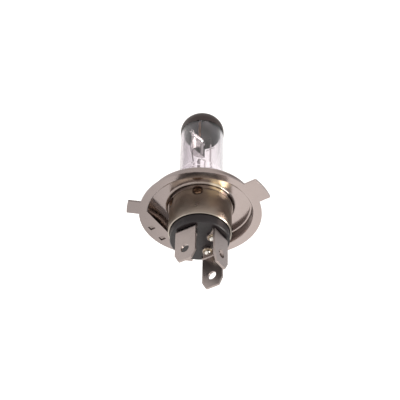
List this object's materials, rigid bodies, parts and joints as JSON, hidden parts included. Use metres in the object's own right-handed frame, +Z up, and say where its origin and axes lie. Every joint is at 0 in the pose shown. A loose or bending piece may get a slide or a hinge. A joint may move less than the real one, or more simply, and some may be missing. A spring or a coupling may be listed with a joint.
{
  "type": "headlight bulb",
  "caption": "Twin-filament halogen headlight bulb: clear glass tube with a black top, stamped metal flange with locating lugs, dark insulator and blade terminals.",
  "frame": {"origin": "centre of the flange's reference plane, where the front faces of the lugs meet the bulb axis", "axes": "+X along the bulb axis towards the glass tip, +Z up through the wide lug as the bulb sits in a lamp, +Y to the left when looking along +X"},
  "size_m": [0.0754, 0.043, 0.0473],
  "materials": {
    "flange_steel": "satin stamped stainless sheet",
    "shell_steel": "satin drawn sheet, darker towards the collar",
    "spring_steel": "satin",
    "clear_quartz": "clear, faint lilac tint",
    "black_coating": "matte heat-proof coating",
    "tungsten": "dull",
    "bright_molybdenum": "bright",
    "molybdenum_wire": "dull",
    "molybdenum_foil": "bright",
    "nickel_wire": "satin",
    "dark_insulator": "matte, near black",
    "terminal_metal": "satin nickel plate",
    "rivet_brass": "dull plated",
    "solder": "bright solder"
  },
  "bodies": {
    "root": {"flange_ring": "flange_steel", "base_shell": "shell_steel", "pinch_clamp": "spring_steel", "glass_envelope": "clear_quartz", "black_top_coating": "black_coating", "front_filament": "tungsten", "rear_filament": "tungsten", "beam_shield": "bright_molybdenum", "shield_support_wire": "molybdenum_wire", "front_filament_lead": "molybdenum_wire", "front_lead_crossbar": "molybdenum_wire", "rear_filament_lead": "molybdenum_wire", "foil_shield_lead": "molybdenum_foil", "foil_rear_lead": "molybdenum_foil", "foil_front_lead": "molybdenum_foil", "outer_wire_shield": "nickel_wire", "outer_wire_rear": "nickel_wire", "outer_wire_front": "nickel_wire", "insulator": "dark_insulator", "terminal_top": "terminal_metal", "terminal_left": "terminal_metal", "terminal_right": "terminal_metal", "rivet_top": "rivet_brass", "rivet_left": "rivet_brass", "rivet_right": "rivet_brass", "solder_top": "solder", "solder_left": "solder", "solder_right": "solder"}
  },
  "joints": []
}
